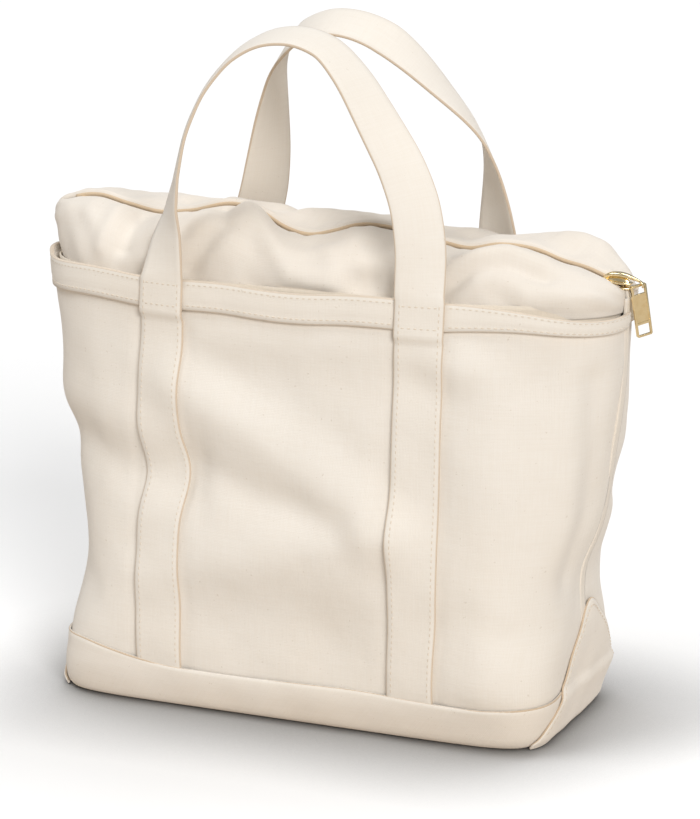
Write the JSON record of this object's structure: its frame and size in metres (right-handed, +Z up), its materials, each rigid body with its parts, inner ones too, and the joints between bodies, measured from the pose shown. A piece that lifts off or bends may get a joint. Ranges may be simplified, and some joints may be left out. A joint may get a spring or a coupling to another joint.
{
  "type": "zip-top canvas tote bag",
  "caption": "Canvas carrying bag with a zipped top, outside front pocket, sewn-on straps that run on as two handles, and a reinforced base.",
  "frame": {"origin": "middle of the underside of the base, where the bag stands", "axes": "+X along the zip towards its closed end, where the pull hangs; +Y from the pocket front to the rear; +Z up"},
  "size_m": [0.4132, 0.1655, 0.4507],
  "materials": {
    "canvas": "heavy natural cotton canvas, plain weave, matt",
    "webbing": "folded canvas strap with stitched edges, matt",
    "zip_tape": "woven cotton tape",
    "brass": "polished brass"
  },
  "bodies": {
    "bag": {"base_boot": "canvas", "bottom_panel": "canvas", "boot_ear_left": "canvas", "boot_ear_right": "canvas", "body_front_panel": "canvas", "body_rear_panel": "canvas", "side_seam_left": "canvas", "side_seam_right": "canvas", "pocket_panel": "canvas", "pocket_hem": "canvas", "rear_hem": "canvas", "front_strap_left": "webbing", "front_strap_right": "webbing", "rear_strap_left": "webbing", "rear_strap_right": "webbing", "front_top_end_left": "canvas", "front_top_end_right": "canvas", "rear_top_end_left": "canvas", "rear_top_end_right": "canvas", "zip_end_gusset_left": "zip_tape", "zip_end_gusset_right": "zip_tape", "zip_bottom_stop": "brass"},
    "front_lip": {"front_top_panel": "canvas", "front_zip_tape": "zip_tape", "front_zip_teeth": "brass"},
    "rear_lip": {"rear_top_panel": "canvas", "rear_zip_tape": "zip_tape", "rear_zip_teeth": "brass"},
    "slider": {"slider_body": "brass", "slider_bridge": "brass"},
    "pull": {"pull_tab": "brass"},
    "front_handle": {"front_handle_loop": "webbing"},
    "rear_handle": {"rear_handle_loop": "webbing"}
  },
  "joints": [
    {"name": "zip_slide", "type": "slide", "parent": "bag", "child": "slider", "axis": [-0.9968, 0, 0.0797], "range_m": [0, 0.355], "deforming": ["zip_end_gusset_right"]},
    {"name": "front_lip_open", "type": "hinge", "parent": "bag", "child": "front_lip", "pos_m": [0, -0.0586, 0.287], "axis": [1, 0, 0], "range_deg": [0, 40]},
    {"name": "rear_lip_open", "type": "hinge", "parent": "bag", "child": "rear_lip", "pos_m": [0, 0.0684, 0.287], "axis": [-1, 0, 0], "range_deg": [0, 32]},
    {"name": "pull_swing", "type": "hinge", "parent": "slider", "child": "pull", "pos_m": [0.207, 0, 0.293], "axis": [-0.633, -0.7544, -0.1736], "range_deg": [0, 180]},
    {"name": "front_handle_fold", "type": "hinge", "parent": "bag", "child": "front_handle", "pos_m": [0, -0.0715, 0.287], "axis": [1, 0, 0], "range_deg": [0, 136]},
    {"name": "rear_handle_fold", "type": "hinge", "parent": "bag", "child": "rear_handle", "pos_m": [0, 0.0703, 0.287], "axis": [-1, 0, 0], "range_deg": [0, 140]}
  ],
  "couplings": [
    {"joint": "front_lip_open", "follows": "zip_slide", "rad_per_m": 1.96},
    {"joint": "rear_lip_open", "follows": "zip_slide", "rad_per_m": 1.57}
  ]
}
